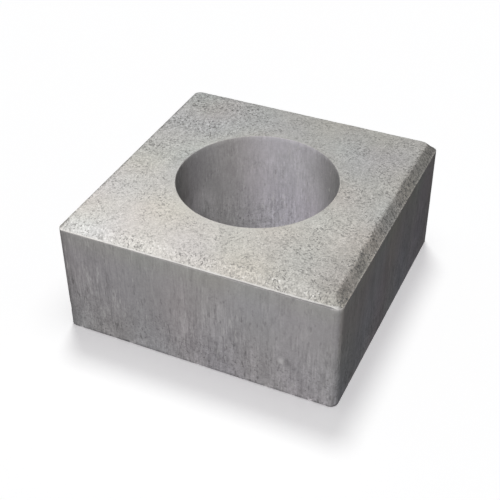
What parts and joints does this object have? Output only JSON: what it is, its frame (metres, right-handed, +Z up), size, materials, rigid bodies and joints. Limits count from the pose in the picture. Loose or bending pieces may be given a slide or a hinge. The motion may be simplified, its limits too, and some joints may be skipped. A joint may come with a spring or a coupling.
{
  "type": "column base block",
  "caption": "Square pressed-concrete base block with a straight round hole through it for a post, pipe or column foot, rounded upright corners and a sloped top edge.",
  "frame": {"origin": "centre of the underside, on the axis of the round hole", "axes": "+Z up along the hole's axis; X and Y square to the four sides"},
  "size_m": [0.3, 0.3, 0.133],
  "materials": {
    "concrete": "dry grey pressed concrete, fine-grained on top, with vertical drag marks on the sides and in the hole"
  },
  "bodies": {
    "root": {"concrete_block": "concrete"}
  },
  "joints": []
}
